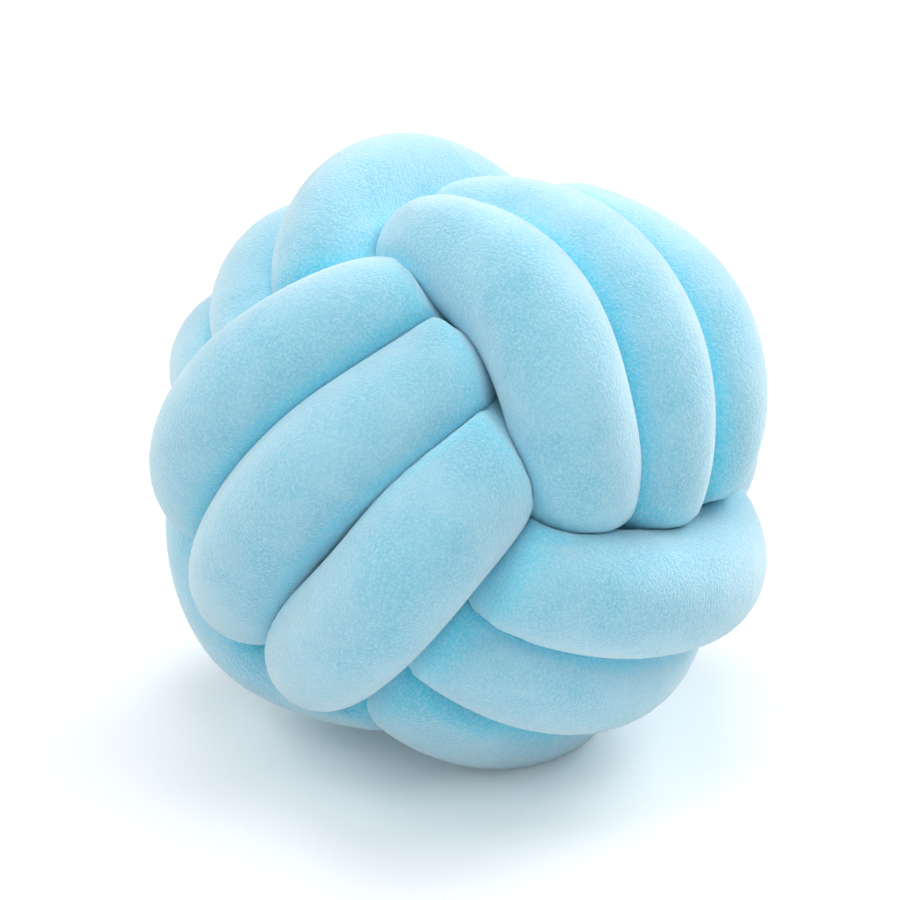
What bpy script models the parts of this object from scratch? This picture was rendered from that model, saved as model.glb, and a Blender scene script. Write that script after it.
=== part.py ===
"""Round cushion: one long stuffed tube wound into a ball knot of three crossing bundles.

Each bundle makes three turns round the ball, square to the other two, and passes inside the
next bundle where they cross. Lengths are in millimetres until the tube is lofted.
"""
import math

import bmesh
import bpy
import numpy as np

MM = 0.001
COLLECTION = "braided_round_pillow"
NODE = "knotted_tube"
VELVET = (0.53, 0.78, 0.88, 1.0)

# The knot is regular: its three bundles are one shape, of three turns each.
BUNDLES = 3
REACH = 100.0            # of the middle turn of a bundle, out from the ball's centre
DEPTH = 78.0             # how far in its hidden runs lie
SPREAD = 46.0            # between the turns of a bundle, where they show
TUBE_RADIUS = 25.0       # of the free tube, so its turns press on each other by 4 mm
INNER_SPREAD = 23.0      # the same, inside the ball
ROUND_SHARE = 0.53       # how closely the outer turns follow a sphere
OUTER_DEPTH_SHARE = 0.86     # depth of the outer turns over that of the middle one
SQUARE_IN = 0.03         # how flat the hidden runs are
LEAD = 29.0              # degrees past the middle of a run where the tube joins or leaves a bundle
SWAP = 58.0              # degrees each side of the middle of a run over which the tube changes turn

# The hidden crossing from one bundle to the next, in the frame of the bundle it leaves.
CROSSING_POINT = (-7.0, 15.0, 19.0)
CROSSING_WAY = (-0.82, -1.05, -0.09)
CROSSING_PULL = (27.0, 25.0)     # at its ends, and at its middle

ANGLE_STEP = 2.0         # degrees between the points that draw a bundle
CROSSING_POINTS = 30     # along each half of a crossing
FINE_STEP = 2.0          # between the points that the centreline is smoothed at
LINE_BLUR = 20           # passes of smoothing of the centreline
STEP_OUTSIDE = 13.0      # between sections, where the tube shows
STEP_INSIDE = 14.0       # between sections, where it is hidden
STEP_BLUR = 60           # passes of smoothing of the step from one to the other
INSIDE_BALL = 84.0       # closer to the centre than this the tube is hidden
SIDES = 12
GAP = 1.6                # between two lays that press on each other side by side
CROSSED_GAP = 7.5        # between two lays that cross square, where the facets straddle a saddle
SQUEEZE = 30.0           # sharpness of the corner where a squeezed section turns free
OWN_LENGTH = 60.0        # of the tube either side of a section that does not press on it
FARTHEST = 60.0
BEND_SHARE = 0.85        # of the bend radius that a section may fill on the inner side
OTHERS_STEP = 8.0        # between the points that stand for the other lays
NARROWEST = 10.0
WIDEST = 40.0            # radius that a squeezed section may spread to
HALVINGS = 20            # of the span between those two, in the search for a section's radius
RADIUS_BLUR = 4          # passes of smoothing of the radii along the tube

ATTITUDE = (50.5, -9.5, -129.0)     # degrees about X, then Y, then Z, from the knot's own axes
SAG = 7.0                # depth of the flat spot the cushion rests on


def bundle_points(angle, lane):
    """Centreline of a bundle along its reach, its depth and its stack, as columns."""
    t = np.radians(angle)
    round_off = np.sqrt(1.0 - (lane * SPREAD / REACH) ** 2) - 1.0
    reach = REACH * (1.0 + ROUND_SHARE * round_off)
    depth = DEPTH * (1.0 + (OUTER_DEPTH_SHARE - 1.0) * np.abs(lane))
    side = depth * (np.sin(t) + SQUARE_IN * np.sin(3.0 * t)) / (1.0 - SQUARE_IN)
    outside = (1.0 + np.cos(2.0 * t)) / 2.0
    apart = INNER_SPREAD + (SPREAD - INNER_SPREAD) * outside
    return np.stack([reach * np.cos(t), side, lane * apart], axis=1)


def ease(u):
    u = np.clip(u, 0.0, 1.0)
    return u * u * (3.0 - 2.0 * u)


def wound():
    """Three turns, each run on the far side of the depth moving over to the next turn."""
    angle = np.arange(90.0 + LEAD, 3 * 360.0 + 90.0 - LEAD, ANGLE_STEP)
    lane = -1.0
    for turn in (1, 2):
        middle = 90.0 + 360.0 * turn
        lane = lane + ease((angle - middle + SWAP) / (2.0 * SWAP))
    return bundle_points(angle, lane)


def bezier(a, b, c, d):
    u = np.linspace(0.0, 1.0, CROSSING_POINTS)[:, None]
    return (1 - u) ** 3 * a + 3 * (1 - u) ** 2 * u * b + 3 * (1 - u) * u ** 2 * c + u ** 3 * d


def to_ball(points, bundle):
    """The bundles are one shape, turned about the diagonal of the ball."""
    return np.roll(np.asarray(points, float), bundle, axis=-1)


def unit(v):
    return v / np.linalg.norm(v, axis=-1, keepdims=True)


def tube_line():
    """The whole closed centreline, bundle after bundle."""
    lays = [to_ball(wound(), i) for i in range(BUNDLES)]
    points = []
    for i, lay in enumerate(lays):
        start, end = lay[-1], lays[(i + 1) % BUNDLES][0]
        leave = unit(lay[-1] - lay[-2])
        arrive = unit(lays[(i + 1) % BUNDLES][1] - end)
        via = to_ball(CROSSING_POINT, i)
        way = to_ball(unit(np.array(CROSSING_WAY)), i)
        near, far = CROSSING_PULL
        down = bezier(start, start + near * leave, via - far * way, via)[1:]
        up = bezier(via, via + far * way, end - near * arrive, end)[1:-1]
        points += [lay, down, up]
    return np.vstack(points)


def blur(values, times):
    for _ in range(times):
        values = values / 2.0 + (np.roll(values, 1, axis=0) + np.roll(values, -1, axis=0)) / 4.0
    return values


def gaps(points):
    return np.linalg.norm(np.roll(points, -1, axis=0) - points, axis=1)


def spaced(points, weight):
    """Points along a closed line, weight of them to the millimetre."""
    run = np.concatenate([[0.0], np.cumsum(gaps(points) * weight)])
    count = int(round(run[-1]))
    at = np.arange(count) * run[-1] / count
    closed = np.vstack([points, points[:1]])
    return np.stack([np.interp(at, run, column) for column in closed.T], axis=1)


def axes_along(points):
    """Tangent and two cross axes at each point, turning as little as they can."""
    tangent = unit(np.roll(points, -1, axis=0) - np.roll(points, 1, axis=0))
    first = np.zeros_like(points)
    first[0] = unit(np.cross(tangent[0], (0.0, 0.0, 1.0)))
    for i in range(1, len(points)):
        carried = first[i - 1] - tangent[i] * (first[i - 1] @ tangent[i])
        first[i] = unit(carried)
    second = np.cross(tangent, first)
    last = first[-1] - tangent[0] * (first[-1] @ tangent[0])
    slip = math.atan2(last @ second[0], last @ first[0])
    turn = -slip * np.arange(len(points))[:, None] / len(points)
    first = first * np.cos(turn) + second * np.sin(turn)
    return tangent, first, np.cross(tangent, first)


def room(points, axes, sides):
    """How far each section reaches on each side before it meets another lay of the tube."""
    tangent, first, second = axes
    angle = np.arange(sides) * 2.0 * math.pi / sides
    run = np.concatenate([[0.0], np.cumsum(gaps(points))])
    whole = run[-1]
    others = spaced(points, 1.0 / OTHERS_STEP)
    others_run = np.arange(len(others)) * whole / len(others)
    others_way = unit(np.roll(others, -1, axis=0) - np.roll(others, 1, axis=0))
    reach = np.full((len(points), sides), FARTHEST)
    for i, centre in enumerate(points):
        apart = np.abs(others_run - run[i])
        apart = np.minimum(apart, whole - apart)
        to = others[apart > OWN_LENGTH] - centre
        alike = np.abs(others_way[apart > OWN_LENGTH] @ tangent[i])
        gap = CROSSED_GAP + (GAP - CROSSED_GAP) * alike
        square = (to * to).sum(axis=1)
        out = np.outer(np.cos(angle), first[i]) + np.outer(np.sin(angle), second[i])
        facing = np.maximum(to @ out.T, 1e-6)
        halfway = square[:, None] / (2.0 * facing)
        reach[i] = np.minimum(FARTHEST, (halfway - gap[:, None] / 2.0).min(axis=0))
    curve = np.roll(tangent, -1, axis=0) - np.roll(tangent, 1, axis=0)
    curve /= (gaps(points) + np.roll(gaps(points), 1))[:, None]
    inward = np.outer((curve * first).sum(axis=1), np.cos(angle))
    inward += np.outer((curve * second).sum(axis=1), np.sin(angle))
    return np.minimum(reach, BEND_SHARE / np.maximum(inward, 1e-6)), angle


def girth(radius, angle):
    x = radius * np.cos(angle)
    y = radius * np.sin(angle)
    return np.hypot(x - np.roll(x, 1, axis=1), y - np.roll(y, 1, axis=1)).sum(axis=1)


def squeezed(free, reach):
    """A circle pressed into the room it has, with its corners rounded."""
    return (free[:, None] ** -SQUEEZE + reach ** -SQUEEZE) ** (-1.0 / SQUEEZE)


def sections(reach, angle):
    """Each section keeps the tube's girth, so it spreads where it is squeezed."""
    want = girth(np.full(reach.shape, TUBE_RADIUS), angle)
    low = np.full(len(reach), NARROWEST)
    high = np.full(len(reach), WIDEST)
    for _ in range(HALVINGS):
        middle = (low + high) / 2.0
        small = girth(squeezed(middle, reach), angle) < want
        low = np.where(small, middle, low)
        high = np.where(small, high, middle)
    return squeezed(blur(low, RADIUS_BLUR), reach)


def rest_on_floor(points):
    """Turns the knot to how it lies, and flattens the little it sinks under its own weight."""
    x, y, z = np.radians(ATTITUDE)
    about_x = np.array([[1, 0, 0], [0, math.cos(x), -math.sin(x)], [0, math.sin(x), math.cos(x)]])
    about_y = np.array([[math.cos(y), 0, math.sin(y)], [0, 1, 0], [-math.sin(y), 0, math.cos(y)]])
    about_z = np.array([[math.cos(z), -math.sin(z), 0], [math.sin(z), math.cos(z), 0], [0, 0, 1]])
    points = points @ (about_z @ about_y @ about_x).T
    points[:, 2] -= points[:, 2].min() + SAG
    points[:, 2] = np.maximum(points[:, 2], 0.0)
    points[:, :2] -= (points[:, :2].min(axis=0) + points[:, :2].max(axis=0)) / 2.0
    return points


def loft(points, count, sides):
    """A closed loft between the unlike sections, four-sided faces all the way round."""
    mesh = bmesh.new()
    verts = [mesh.verts.new(p) for p in points * MM]
    for i in range(count):
        here, there = i * sides, (i + 1) % count * sides
        for k in range(sides):
            n = (k + 1) % sides
            mesh.faces.new((verts[here + k], verts[here + n], verts[there + n], verts[there + k]))
    bmesh.ops.recalc_face_normals(mesh, faces=mesh.faces)
    data = bpy.data.meshes.new(NODE)
    mesh.to_mesh(data)
    mesh.free()
    data.shade_smooth()
    return bpy.data.objects.new(NODE, data)


def velvet():
    material = bpy.data.materials.new("velvet")
    material.use_nodes = True
    shader = material.node_tree.nodes["Principled BSDF"]
    shader.inputs["Base Color"].default_value = VELVET
    shader.inputs["Roughness"].default_value = 0.9
    return material


def main():
    for thing in list(bpy.data.objects):
        bpy.data.objects.remove(thing, do_unlink=True)
    collection = bpy.data.collections.new(COLLECTION)
    bpy.context.scene.collection.children.link(collection)

    line = spaced(tube_line(), 1.0 / FINE_STEP)
    line = blur(line, LINE_BLUR)
    hidden = np.linalg.norm(line, axis=1) < INSIDE_BALL
    weight = blur(np.where(hidden, 1.0 / STEP_INSIDE, 1.0 / STEP_OUTSIDE), STEP_BLUR)
    line = spaced(line, weight)
    axes = axes_along(line)
    reach, angle = room(line, axes, SIDES)
    radius = sections(reach, angle)
    out = axes[1][:, None] * np.cos(angle)[:, None] + axes[2][:, None] * np.sin(angle)[:, None]
    points = (line[:, None] + radius[:, :, None] * out).reshape(-1, 3)

    cushion = loft(rest_on_floor(points), len(line), SIDES)
    cushion.data.materials.append(velvet())
    collection.objects.link(cushion)


main()
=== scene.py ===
import math

import bpy
import numpy as np
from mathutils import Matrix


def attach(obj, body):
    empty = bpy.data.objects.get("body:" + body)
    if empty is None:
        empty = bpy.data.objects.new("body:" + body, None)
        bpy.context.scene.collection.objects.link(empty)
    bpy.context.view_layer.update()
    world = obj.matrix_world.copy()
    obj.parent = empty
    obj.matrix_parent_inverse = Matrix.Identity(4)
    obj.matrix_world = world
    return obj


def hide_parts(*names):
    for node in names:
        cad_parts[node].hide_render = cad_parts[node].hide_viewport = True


# Looks for the knotted ball cushion: its one stuffed velvet tube, finely made, in a plain studio.
# The tube's lay repeats the one that its CAD solid has. Its sections are then blown up here by
# their own skin tension and filling, each inside the room that its neighbours leave it.
# Lengths are in millimetres until the mesh is made.

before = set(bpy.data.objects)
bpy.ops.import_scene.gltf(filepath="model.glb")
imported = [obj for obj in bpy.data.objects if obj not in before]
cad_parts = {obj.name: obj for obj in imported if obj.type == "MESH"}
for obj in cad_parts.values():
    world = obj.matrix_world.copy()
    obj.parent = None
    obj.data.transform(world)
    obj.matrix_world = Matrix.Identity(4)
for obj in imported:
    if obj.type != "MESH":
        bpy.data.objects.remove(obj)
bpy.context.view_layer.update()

MM = 0.001
NODE = "knotted_tube"
PIECE = "velvet_tube"

# The lay of the tube, as the CAD solid has it.
BUNDLES = 3
REACH = 100.0            # of the middle turn of a bundle, out from the ball's centre
DEPTH = 78.0             # how far in its hidden runs lie
SPREAD = 46.0            # between the turns of a bundle, where they show
TUBE_RADIUS = 25.0       # of the free tube, so its turns press on each other by 4 mm
INNER_SPREAD = 23.0      # between the turns of a bundle inside the ball
ROUND_SHARE = 0.53       # how closely the outer turns follow a sphere
OUTER_DEPTH_SHARE = 0.86     # depth of the outer turns over that of the middle one
SQUARE_IN = 0.03         # how flat the hidden runs are
LEAD = 29.0              # degrees from the middle of a hidden run to where a bundle is joined or left
SWAP = 58.0              # degrees each side of that middle over which the tube changes turn
CROSSING_POINT = (-7.0, 15.0, 19.0)      # of the tube on its way to the next bundle
CROSSING_WAY = (-0.82, -1.05, -0.09)
CROSSING_PULL = (27.0, 25.0)     # at the ends of a crossing, and at its middle
INSIDE_BALL = 84.0       # closer to the centre than this the tube is hidden
OWN_LENGTH = 60.0        # of the tube either side of a section that does not press on it
FARTHEST = 60.0
BEND_SHARE = 0.85        # of the bend radius that a section may fill on the inner side
ATTITUDE = (50.5, -9.5, -129.0)     # degrees about X, then Y, then Z, from the knot's own axes
SAG = 7.0                # depth of the deepest of the flat spots the cushion rests on

# Where the photo's tube is filled more or less, or has slipped: the bundle, the place along its three
# turns in degrees, how far that reaches either way, what it adds to the radius, and the slip outward
# and aside, towards the later turns.
PLACES = [
    {"bundle": 0, "angle": 355.0, "over": 50.0, "fuller": 0.0, "out": 2.0, "aside": -7.0},
    {"bundle": 0, "angle": 683.0, "over": 32.0, "fuller": 0.0, "out": 8.0, "aside": -5.0},
    {"bundle": 0, "angle": 1060.0, "over": 45.0, "fuller": 0.0, "out": 5.0, "aside": -5.0},
    {"bundle": 1, "angle": 378.0, "over": 30.0, "fuller": 0.0, "out": -8.0, "aside": 0.0},
    {"bundle": 1, "angle": 755.0, "over": 25.0, "fuller": 0.0, "out": -5.0, "aside": 0.0},
    {"bundle": 1, "angle": 1115.0, "over": 20.0, "fuller": -1.0, "out": -5.0, "aside": 0.0},
    {"bundle": 1, "angle": 1050.0, "over": 22.0, "fuller": -1.0, "out": 0.0, "aside": 7.0},
    {"bundle": 1, "angle": 930.0, "over": 25.0, "fuller": 0.0, "out": -7.0, "aside": 0.0},
    {"bundle": 2, "angle": 165.0, "over": 30.0, "fuller": 0.0, "out": -9.0, "aside": 0.0},
    {"bundle": 2, "angle": 925.0, "over": 20.0, "fuller": 0.0, "out": 5.0, "aside": 0.0},
]

# How finely the tube is made.
ANGLE_STEP = 2.0         # degrees between the points that draw a bundle
CROSSING_POINTS = 30     # along each half of a crossing
FINE_STEP = 2.0          # between the points that the centreline is smoothed at
LINE_BLUR = 20           # passes of smoothing of the centreline
STEP_OUTSIDE = 2.6       # between sections, where the tube shows
STEP_INSIDE = 6.0        # between sections, where it is hidden
STEP_BLUR = 60           # passes of smoothing of the step from one to the other
FULLNESS_BLUR = 30       # passes of smoothing of the free radius along the tube
SIDES = 52
OTHERS_STEP = 3.0        # between the points that stand for the other lays
TINY = 1e-6

# How its sections fill the room they have.
GAP = -0.4               # between two lays that press on each other, whose piles run together
LEAST_ROOM = 3.0
LEAST_BEND = 8.0         # radius that a section may fill at the tightest bends
WIDEST = 36.0            # radius that a squeezed section may spread to
INFLATE_STEPS = 300
TENSION = 0.35           # share of the skin's pull that one step follows
SECTION_BLUR = 2         # passes of smoothing of a section along the tube, at each step
GROWTH_BLUR = 3          # passes of smoothing of the growth of the sections, at each step
GROWTH = 0.5             # share of the missing girth that one step makes up
MOST_GROWTH = 1.0
LEAST_LOOSE = 0.2        # share of a section that counts as free of its neighbours, at least
TOUCHING = 1e-3
PILE = 3.5               # depth of the velvet and its soft backing, which fill the creases
PILE_IN_GIRTH = 0.5      # share of that depth that lies inside the free radius
PAINTED_SHADE_DEPTH = 13.0      # from a neighbouring lay to where the painted crease shade ends
PAINTED_SHADE_BLUR = 4          # passes of smoothing of that painted shade's edge

# The velvet, in metres and linear colours.
TUFT = 0.0012
TUFT_HEIGHT = 0.0007
TUFT_DETAIL = 2.0
TUFT_ROUGHNESS = 0.7
PATCH = 0.024            # of pile brushed one way
PATCH_HEIGHT = 0.0012
PATCH_DETAIL = 3.0
PATCH_ROUGHNESS = 0.5
PATCH_DISTORTION = 0.5
SLOW_PATCH = 0.09        # of a slower change of shade under the patches
SLOW_DETAIL = 1.0
SLOW_SHARE = 0.35        # of that change in the shade
BRUSHED_SHARE = 0.65     # of the patches in the shade
DEEP = (0.11, 0.56, 0.77)
DEEP_AT = 0.36
PALE = (0.27, 0.66, 0.84)
PALE_AT = 0.64
# Painted shade: the deeper, more saturated blue that the creases between lays are mixed towards.
CREASE_PAINTED_SHADE = (0.03, 0.70, 0.92)
TIP = (0.42, 0.77, 0.92)     # of the tufts that catch the light
TIP_FROM = 0.42
TIP_TO = 0.72
TIP_SHARE = 0.75
SMOOTHER_AT = 0.3        # where the pile is smoothest, and how rough it is there
SMOOTHER = 0.8
ROUGHER_AT = 0.7
ROUGHER = 1.0
SPECULAR = 0.2
SHEEN = 1.0
SHEEN_ROUGHNESS = 0.7
SHEEN_TINT = (0.96, 0.99, 1.0)
RIB = 0.0012             # of the knitted backing
RIB_HEIGHT = 0.00007
RIB_DISTORTION = 0.6
RIB_DETAIL_SCALE = 0.4
WAVE_UNIT = 20.0 / (2.0 * math.pi)     # a Wave texture's bands to the metre, at scale 1
WORN_PATCH = 0.06        # where the pile is thin
WORN_DETAIL = 1.0
WORN_FROM = 0.5
WORN_TO = 0.66

# Soft round lamps about the cushion: azimuth from the front towards its right, and height in degrees.
LAMPS = [
    {"name": "above", "azimuth": 0.0, "height": 90.0, "watts": 20.0},
    {"name": "front", "azimuth": 0.0, "height": 45.0, "watts": 10.0},
    {"name": "right", "azimuth": 60.0, "height": 45.0, "watts": 10.0},
    {"name": "left", "azimuth": -60.0, "height": 45.0, "watts": 15.0},
    {"name": "back_right", "azimuth": 130.0, "height": 35.0, "watts": 35.0},
    {"name": "back_left", "azimuth": -130.0, "height": 35.0, "watts": 15.0},
]
LAMP_AWAY = 2.2
LAMP_SIZE = 1.4
LAMPS_AIM = (0.0, 0.0, 0.12)

FLOOR_RADIUS = 1.7
FLOOR_CORNERS = 96
FLOOR_SHADE = 0.9
FLOOR_GLOW = 0.11        # of the floor by the cushion
FAR_GLOW = 0.6           # of the floor towards its edge
GLOW_FROM = 0.5          # from the middle, where the one glow starts to turn into the other
GLOW_TO = 1.5

VIEW_UP = 23.0           # degrees above level
VIEW_DISTANCE = 1.27
VIEW_ASIDE = (-0.0045, 0.0020)   # of the camera, right and up, so the ball sits a little off centre
LENS = 117.9             # millimetres, on a film 36 mm wide
FILM_WIDTH = 36.0


def bundle_points(angle, lane):
    """Centreline of a bundle along its reach, its depth and its stack, as columns."""
    t = np.radians(angle)
    round_off = np.sqrt(1.0 - (lane * SPREAD / REACH) ** 2) - 1.0
    reach = REACH * (1.0 + ROUND_SHARE * round_off)
    depth = DEPTH * (1.0 + (OUTER_DEPTH_SHARE - 1.0) * np.abs(lane))
    side = depth * (np.sin(t) + SQUARE_IN * np.sin(3.0 * t)) / (1.0 - SQUARE_IN)
    outside = (1.0 + np.cos(2.0 * t)) / 2.0
    apart = INNER_SPREAD + (SPREAD - INNER_SPREAD) * outside
    return np.stack([reach * np.cos(t), side, lane * apart], axis=1)


def ease(u):
    u = np.clip(u, 0.0, 1.0)
    return u * u * (3.0 - 2.0 * u)


def turning():
    """Degrees along a bundle's three turns, from where the tube joins it to where it leaves."""
    return np.arange(90.0 + LEAD, 3 * 360.0 + 90.0 - LEAD, ANGLE_STEP)


def placed(bundle, what):
    """A column of the table of places, summed along a bundle's three turns."""
    total = np.zeros(len(turning()))
    for place in PLACES:
        if place["bundle"] == bundle:
            total += place[what] * np.exp(-((turning() - place["angle"]) / place["over"]) ** 2)
    return total


def wound(bundle):
    """Three turns, each run on the far side of the depth moving over to the next turn."""
    angle = turning()
    lane = -1.0
    for turn in (1, 2):
        middle = 90.0 + 360.0 * turn
        lane = lane + ease((angle - middle + SWAP) / (2.0 * SWAP))
    points = bundle_points(angle, lane)
    points[:, 0] += placed(bundle, "out") * np.cos(np.radians(angle))
    points[:, 1] += placed(bundle, "out") * np.sin(np.radians(angle))
    points[:, 2] += placed(bundle, "aside")
    return points


def bezier(a, b, c, d):
    u = np.linspace(0.0, 1.0, CROSSING_POINTS)[:, None]
    return (1 - u) ** 3 * a + 3 * (1 - u) ** 2 * u * b + 3 * (1 - u) * u ** 2 * c + u ** 3 * d


def to_ball(points, bundle):
    """The bundles are one shape, turned about the diagonal of the ball."""
    return np.roll(np.asarray(points, float), bundle, axis=-1)


def unit(v):
    return v / np.linalg.norm(v, axis=-1, keepdims=True)


def tube_line():
    """The whole closed centreline and, at each point, the free radius of the tube."""
    lays = [to_ball(wound(i), i) for i in range(BUNDLES)]
    points = []
    radii = []
    for i, lay in enumerate(lays):
        start, end = lay[-1], lays[(i + 1) % BUNDLES][0]
        leave = unit(lay[-1] - lay[-2])
        arrive = unit(lays[(i + 1) % BUNDLES][1] - end)
        via = to_ball(CROSSING_POINT, i)
        way = to_ball(unit(np.array(CROSSING_WAY)), i)
        near, far = CROSSING_PULL
        down = bezier(start, start + near * leave, via - far * way, via)[1:]
        up = bezier(via, via + far * way, end - near * arrive, end)[1:-1]
        points += [lay, down, up]
        radii += [TUBE_RADIUS + placed(i, "fuller"), np.full(len(down) + len(up), TUBE_RADIUS)]
    return np.vstack(points), np.concatenate(radii)


def blur(values, times):
    for _ in range(times):
        values = values / 2.0 + (np.roll(values, 1, axis=0) + np.roll(values, -1, axis=0)) / 4.0
    return values


def gaps(points):
    return np.linalg.norm(np.roll(points, -1, axis=0) - points, axis=1)


def spaced(points, weight, *also):
    """Points along a closed line, weight of them to the millimetre."""
    run = np.concatenate([[0.0], np.cumsum(gaps(points) * weight)])
    count = int(round(run[-1]))
    at = np.arange(count) * run[-1] / count
    out = []
    for values in (points,) + also:
        columns = np.atleast_2d(values.T)
        closed = np.hstack([columns, columns[:, :1]])
        out.append(np.array([np.interp(at, run, c) for c in closed]).T)
    return out


def axes_along(points):
    """Tangent and two cross axes at each point, turning as little as they can."""
    tangent = unit(np.roll(points, -1, axis=0) - np.roll(points, 1, axis=0))
    first = np.zeros_like(points)
    first[0] = unit(np.cross(tangent[0], (0.0, 0.0, 1.0)))
    for i in range(1, len(points)):
        carried = first[i - 1] - tangent[i] * (first[i - 1] @ tangent[i])
        first[i] = unit(carried)
    second = np.cross(tangent, first)
    last = first[-1] - tangent[0] * (first[-1] @ tangent[0])
    slip = math.atan2(last @ second[0], last @ first[0])
    turn = -slip * np.arange(len(points))[:, None] / len(points)
    first = first * np.cos(turn) + second * np.sin(turn)
    return tangent, first, np.cross(tangent, first)


def room(points, axes, angle):
    """How far each section reaches on each side before it meets another lay of the tube."""
    tangent, first, second = axes
    run = np.concatenate([[0.0], np.cumsum(gaps(points))])
    whole = run[-1]
    others, = spaced(points, 1.0 / OTHERS_STEP)
    others_run = np.arange(len(others)) * whole / len(others)
    reach = np.full((len(points), len(angle)), FARTHEST)
    for i, centre in enumerate(points):
        apart = np.abs(others_run - run[i])
        apart = np.minimum(apart, whole - apart)
        to = others[apart > OWN_LENGTH] - centre
        square = (to * to).sum(axis=1)
        close = square < (2.0 * FARTHEST) ** 2
        out = np.outer(np.cos(angle), first[i]) + np.outer(np.sin(angle), second[i])
        facing = np.maximum(to[close] @ out.T, TINY)
        halfway = (square[close][:, None] / (2.0 * facing)).min(axis=0)
        reach[i] = np.minimum(FARTHEST, halfway - GAP / 2.0)
    curve = np.roll(tangent, -1, axis=0) - np.roll(tangent, 1, axis=0)
    curve /= (gaps(points) + np.roll(gaps(points), 1))[:, None]
    inward = np.outer((curve * first).sum(axis=1), np.cos(angle))
    inward += np.outer((curve * second).sum(axis=1), np.sin(angle))
    bend = BEND_SHARE / np.maximum(inward, TINY)
    return np.minimum(np.maximum(reach, LEAST_ROOM), np.maximum(bend, LEAST_BEND))


def girth(radius, angle):
    x = radius * np.cos(angle)
    y = radius * np.sin(angle)
    return np.hypot(x - np.roll(x, 1, axis=1), y - np.roll(y, 1, axis=1)).sum(axis=1)


def inflated(reach, angle, free):
    """Sections that keep the tube's girth, drawn smooth by tension and held by their room."""
    step = angle[1] - angle[0]
    most = np.minimum(reach, WIDEST)
    radius = np.minimum(most, free[:, None])
    for _ in range(INFLATE_STEPS):
        before, after = np.roll(radius, 1, axis=1), np.roll(radius, -1, axis=1)
        slope = (after - before) / (2.0 * step)
        second = (before - 2.0 * radius + after) / step ** 2
        size = radius ** 2 + slope ** 2
        bend = (size + slope ** 2 - radius * second) / size ** 1.5
        pull = TENSION * step ** 2 * size * (bend - 1.0 / free[:, None])
        radius = radius - pull * np.sqrt(size) / radius
        radius = blur(radius, SECTION_BLUR)
        radius = np.minimum(radius, most)
        loose = radius < most - TOUCHING
        short = 2.0 * math.pi * free - girth(radius, angle)
        share = np.maximum(loose.mean(axis=1), LEAST_LOOSE)
        grow = np.clip(GROWTH * short / (2.0 * math.pi) / share, -MOST_GROWTH, MOST_GROWTH)
        radius = np.clip(radius + blur(grow, GROWTH_BLUR)[:, None] * loose, LEAST_ROOM, most)
    return radius


def turned(points):
    """The knot turned to how it lies."""
    x, y, z = np.radians(ATTITUDE)
    about_x = np.array([[1, 0, 0], [0, math.cos(x), -math.sin(x)], [0, math.sin(x), math.cos(x)]])
    about_y = np.array([[math.cos(y), 0, math.sin(y)], [0, 1, 0], [-math.sin(y), 0, math.cos(y)]])
    about_z = np.array([[math.cos(z), -math.sin(z), 0], [math.sin(z), math.cos(z), 0], [0, 0, 1]])
    return points @ (about_z @ about_y @ about_x).T


def make_tube():
    """Sections in place, their places along the tube, free radii, the painted shade of the creases,
    and the knot's shift.
    """
    line, radii = tube_line()
    line, radii = spaced(line, np.full(len(line), 1.0 / FINE_STEP), radii)
    line = blur(line, LINE_BLUR)
    hidden = np.linalg.norm(line, axis=1) < INSIDE_BALL
    weight = blur(np.where(hidden, 1.0 / STEP_INSIDE, 1.0 / STEP_OUTSIDE), STEP_BLUR)
    line, radii = spaced(line, weight, radii)
    radii = blur(radii[:, 0], FULLNESS_BLUR)
    axes = axes_along(line)
    angle = np.arange(SIDES) * 2.0 * math.pi / SIDES
    reach = room(line, axes, angle)
    radius = np.minimum(inflated(reach, angle, radii - PILE_IN_GIRTH * PILE) + PILE, reach)
    out = axes[1][:, None] * np.cos(angle)[:, None] + axes[2][:, None] * np.sin(angle)[:, None]
    points = line[:, None] + radius[:, :, None] * out
    run = np.concatenate([[0.0], np.cumsum(gaps(line))])

    points = turned(points)
    low, high = points.reshape(-1, 3).min(axis=0), points.reshape(-1, 3).max(axis=0)
    shift = np.array([-(low[0] + high[0]) / 2.0, -(low[1] + high[1]) / 2.0, -low[2] - SAG])
    points = points + shift
    points[:, :, 2] = np.maximum(points[:, :, 2], 0.0)
    # Painted shade: nearness to a neighbouring lay, which sets how much crease colour is painted on.
    crease_shade = 1.0 - ease((reach - radius) / PAINTED_SHADE_DEPTH)
    return points, run, radii, crease_shade, shift


def tube_mesh(points, run, radii, crease_shade):
    """A closed loft, with a map of the lay along and round the tube, and the painted shade of its
    creases.
    """
    count = len(points)
    index = np.arange(count * SIDES).reshape(count, SIDES)
    there = np.roll(index, -1, axis=0)
    faces = np.stack([index, np.roll(index, -1, axis=1), np.roll(there, -1, axis=1), there], axis=-1)
    mesh = bpy.data.meshes.new(PIECE)
    mesh.from_pydata((points.reshape(-1, 3) * MM).tolist(), [], faces.reshape(-1, 4).tolist())
    along = np.stack([run[:-1], run[:-1], run[1:], run[1:]], axis=-1)[:, None, :]
    along = np.broadcast_to(along, (count, SIDES, 4))
    step = 2.0 * math.pi / SIDES
    turn = np.arange(SIDES)[None, :, None] * step + np.array([0.0, step, step, 0.0])
    round_it = turn * radii.mean() * np.ones((count, 1, 1))
    uv = np.stack([along, round_it], axis=-1) * MM
    layer = mesh.uv_layers.new(name="lay")
    layer.data.foreach_set("uv", uv.reshape(-1))
    # Painted shade of the creases, kept on the points.
    crease_shade_layer = mesh.attributes.new("crease_shade", "FLOAT", "POINT")
    crease_shade_layer.data.foreach_set("value", blur(crease_shade, PAINTED_SHADE_BLUR).reshape(-1))
    mesh.shade_smooth()
    mesh.update()
    return mesh


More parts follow.
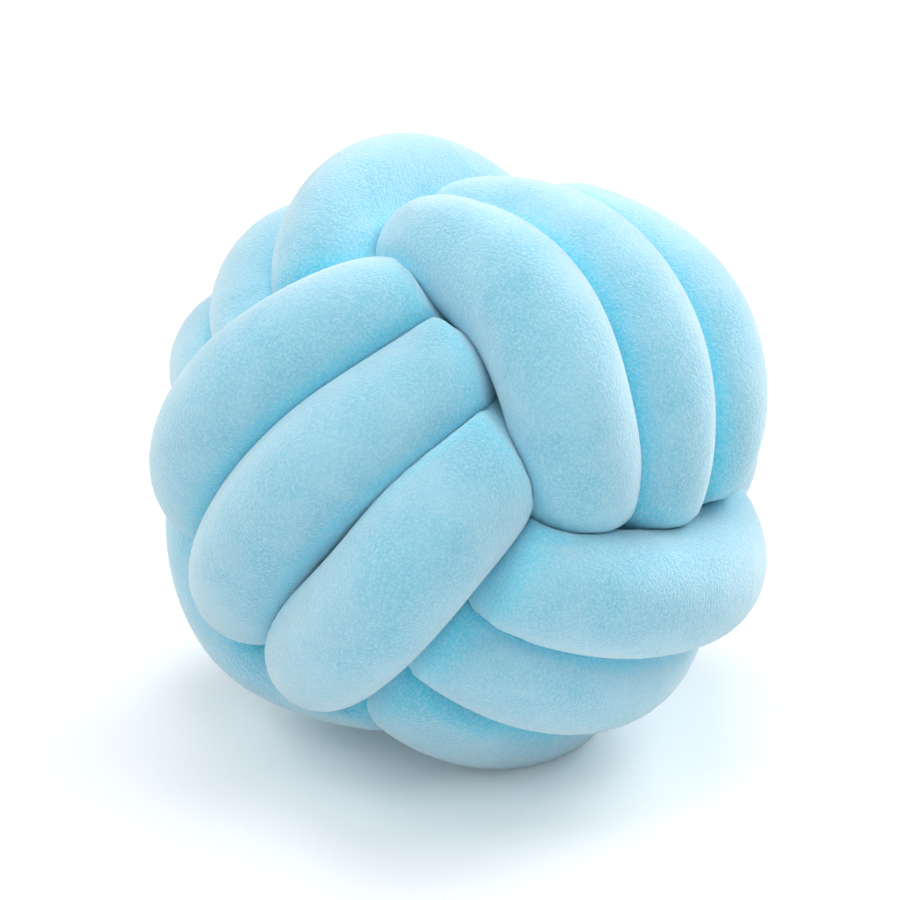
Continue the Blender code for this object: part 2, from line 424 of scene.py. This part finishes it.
def add(tree, kind, settings=None, values=None):
    made = tree.nodes.new("ShaderNode" + kind)
    for name, value in (settings or {}).items():
        setattr(made, name, value)
    for socket, value in (values or {}).items():
        made.inputs[socket].default_value = value
    return made


def velvet():
    """Short dense pile: fine tufts, soft patches where the pile has been brushed either way, and
    painted shade in the creases between lays.
    """
    material = bpy.data.materials.new("pile_velvet")
    material.use_nodes = True
    tree = material.node_tree
    link = tree.links.new
    shader = tree.nodes["Principled BSDF"]
    shader.inputs["Specular IOR Level"].default_value = SPECULAR
    shader.inputs["Sheen Weight"].default_value = SHEEN
    shader.inputs["Sheen Roughness"].default_value = SHEEN_ROUGHNESS
    shader.inputs["Sheen Tint"].default_value = SHEEN_TINT + (1.0,)

    place = add(tree, "TexCoord")
    brushed = add(tree, "TexNoise", {}, {
        "Scale": 1.0 / PATCH,
        "Detail": PATCH_DETAIL,
        "Roughness": PATCH_ROUGHNESS,
        "Distortion": PATCH_DISTORTION,
    })
    slow = add(tree, "TexNoise", {}, {"Scale": 1.0 / SLOW_PATCH, "Detail": SLOW_DETAIL})
    tufts = add(tree, "TexNoise", {}, {
        "Scale": 1.0 / TUFT,
        "Detail": TUFT_DETAIL,
        "Roughness": TUFT_ROUGHNESS,
    })
    for texture in (brushed, slow, tufts):
        link(place.outputs["Object"], texture.inputs["Vector"])

    both = add(tree, "Math", {"operation": "MULTIPLY_ADD"}, {1: SLOW_SHARE})
    link(slow.outputs[0], both.inputs[0])
    most = add(tree, "Math", {"operation": "MULTIPLY"}, {1: BRUSHED_SHARE})
    link(brushed.outputs[0], most.inputs[0])
    link(most.outputs[0], both.inputs[2])
    shade = add(tree, "ValToRGB")
    shade.color_ramp.elements[0].position = DEEP_AT
    shade.color_ramp.elements[0].color = DEEP + (1.0,)
    shade.color_ramp.elements[1].position = PALE_AT
    shade.color_ramp.elements[1].color = PALE + (1.0,)
    link(both.outputs[0], shade.inputs[0])

    # Painted shade: near the creases between lays, the colour is mixed towards a deeper blue.
    crease_shade = add(tree, "Attribute", {"attribute_name": "crease_shade"})
    crease_shaded = add(tree, "Mix", {"data_type": "RGBA"})
    crease_shaded.inputs[7].default_value = CREASE_PAINTED_SHADE + (1.0,)
    link(crease_shade.outputs["Fac"], crease_shaded.inputs[0])
    link(shade.outputs[0], crease_shaded.inputs[6])

    tips = add(tree, "MapRange", {}, {
        "From Min": TIP_FROM,
        "From Max": TIP_TO,
        "To Min": 0.0,
        "To Max": TIP_SHARE,
    })
    link(tufts.outputs[0], tips.inputs["Value"])
    tint = add(tree, "Mix", {"data_type": "RGBA"})
    tint.inputs[7].default_value = TIP + (1.0,)
    link(tips.outputs[0], tint.inputs[0])
    link(crease_shaded.outputs[2], tint.inputs[6])
    link(tint.outputs[2], shader.inputs["Base Color"])

    rough = add(tree, "MapRange", {}, {
        "From Min": SMOOTHER_AT,
        "From Max": ROUGHER_AT,
        "To Min": SMOOTHER,
        "To Max": ROUGHER,
    })
    link(both.outputs[0], rough.inputs["Value"])
    link(rough.outputs[0], shader.inputs["Roughness"])

    leaning = add(tree, "Bump", {}, {"Strength": 1.0, "Distance": PATCH_HEIGHT})
    link(brushed.outputs[0], leaning.inputs["Height"])
    # Where the pile is thin, the ribs of its knitted backing show across the tube.
    along = add(tree, "UVMap", {"uv_map": "lay"})
    ribs = add(tree, "TexWave", {"wave_type": "BANDS", "bands_direction": "X"})
    ribs.inputs["Scale"].default_value = 1.0 / WAVE_UNIT / RIB
    ribs.inputs["Distortion"].default_value = RIB_DISTORTION
    ribs.inputs["Detail Scale"].default_value = RIB_DETAIL_SCALE
    link(along.outputs[0], ribs.inputs["Vector"])
    worn = add(tree, "TexNoise", {}, {"Scale": 1.0 / WORN_PATCH, "Detail": WORN_DETAIL})
    link(place.outputs["Object"], worn.inputs["Vector"])
    thin = add(tree, "MapRange", {}, {
        "From Min": WORN_FROM,
        "From Max": WORN_TO,
        "To Min": 0.0,
        "To Max": 1.0,
    })
    link(worn.outputs[0], thin.inputs["Value"])
    showing = add(tree, "Math", {"operation": "MULTIPLY"})
    link(ribs.outputs["Fac"], showing.inputs[0])
    link(thin.outputs[0], showing.inputs[1])
    ribbed = add(tree, "Bump", {}, {"Strength": 1.0, "Distance": RIB_HEIGHT})
    link(showing.outputs[0], ribbed.inputs["Height"])
    link(leaning.outputs[0], ribbed.inputs["Normal"])
    pile = add(tree, "Bump", {}, {"Strength": 1.0, "Distance": TUFT_HEIGHT})
    link(tufts.outputs[0], pile.inputs["Height"])
    link(ribbed.outputs[0], pile.inputs["Normal"])
    link(pile.outputs[0], shader.inputs["Normal"])
    return material


def pale_paper():
    """A floor that glows more towards its edge, so that a low view has no dark horizon."""
    material = bpy.data.materials.new("pale")
    material.use_nodes = True
    tree = material.node_tree
    paper = tree.nodes["Principled BSDF"]
    paper.inputs["Base Color"].default_value = (FLOOR_SHADE, FLOOR_SHADE, FLOOR_SHADE, 1.0)
    paper.inputs["Roughness"].default_value = 1.0
    paper.inputs["Specular IOR Level"].default_value = 0.0
    paper.inputs["Emission Color"].default_value = (1.0, 1.0, 1.0, 1.0)
    place = add(tree, "TexCoord")
    away = add(tree, "VectorMath", {"operation": "LENGTH"})
    glow = add(tree, "MapRange", {}, {
        "From Min": GLOW_FROM,
        "From Max": GLOW_TO,
        "To Min": FLOOR_GLOW,
        "To Max": FAR_GLOW,
    })
    tree.links.new(place.outputs["Object"], away.inputs[0])
    tree.links.new(away.outputs["Value"], glow.inputs["Value"])
    tree.links.new(glow.outputs[0], paper.inputs["Emission Strength"])
    return material


def make_floor():
    corner = np.arange(FLOOR_CORNERS) * 2.0 * math.pi / FLOOR_CORNERS
    rim = np.stack([np.cos(corner), np.sin(corner), np.zeros(FLOOR_CORNERS)], axis=1) * FLOOR_RADIUS
    mesh = bpy.data.meshes.new("floor")
    mesh.from_pydata(rim.tolist(), [], [tuple(range(FLOOR_CORNERS))])
    floor = bpy.data.objects.new("floor", mesh)
    bpy.context.scene.collection.objects.link(floor)
    mesh.materials.append(pale_paper())


def make_surroundings():
    """White, and seen by the camera only: the lamps and the floor light the cushion."""
    world = bpy.data.worlds.new("studio")
    bpy.context.scene.world = world
    world.use_nodes = True
    background = world.node_tree.nodes["Background"]
    background.inputs["Color"].default_value = (1.0, 1.0, 1.0, 1.0)
    background.inputs["Strength"].default_value = 1.0
    world.cycles_visibility.diffuse = False
    world.cycles_visibility.glossy = False


def aim_angles(way):
    """Turns an object's own -Z towards way, its Y kept upward."""
    flat = math.hypot(way[0], way[1])
    return math.pi / 2.0 + math.atan2(way[2], flat), 0.0, math.atan2(-way[0], way[1])


def towards(azimuth, height):
    """A direction out from the cushion, by degrees from its front and above level."""
    azimuth, height = math.radians(azimuth), math.radians(height)
    flat = math.cos(height)
    return np.array([math.sin(azimuth) * flat, -math.cos(azimuth) * flat, math.sin(height)])


def make_lamps():
    for row in LAMPS:
        out = towards(row["azimuth"], row["height"])
        light = bpy.data.lights.new(row["name"], "AREA")
        light.shape = "DISK"
        light.size = LAMP_SIZE
        light.energy = row["watts"]
        lamp = bpy.data.objects.new(row["name"], light)
        lamp.location = np.array(LAMPS_AIM) + out * LAMP_AWAY
        lamp.rotation_euler = aim_angles(-out)
        bpy.context.scene.collection.objects.link(lamp)


def make_camera(middle):
    up = math.radians(VIEW_UP)
    back = np.array([0.0, -math.cos(up), math.sin(up)])
    above = np.array([0.0, math.sin(up), math.cos(up)])
    right = np.array([1.0, 0.0, 0.0])
    camera = bpy.data.objects.new("camera", bpy.data.cameras.new("camera"))
    camera.data.lens = LENS
    camera.data.sensor_width = FILM_WIDTH
    aside, higher = VIEW_ASIDE
    camera.location = middle + back * VIEW_DISTANCE + above * higher + right * aside
    camera.rotation_euler = aim_angles(-back)
    bpy.context.scene.collection.objects.link(camera)
    bpy.context.scene.camera = camera


points, run, radii, crease_shade, shift = make_tube()
tube = bpy.data.objects.new(PIECE, tube_mesh(points, run, radii, crease_shade))
bpy.context.scene.collection.objects.link(tube)
tube.data.materials.append(velvet())
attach(tube, "root")
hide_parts(NODE)

make_floor()
make_surroundings()
make_lamps()
make_camera(shift * MM)
bpy.context.scene.view_settings.view_transform = "Standard"
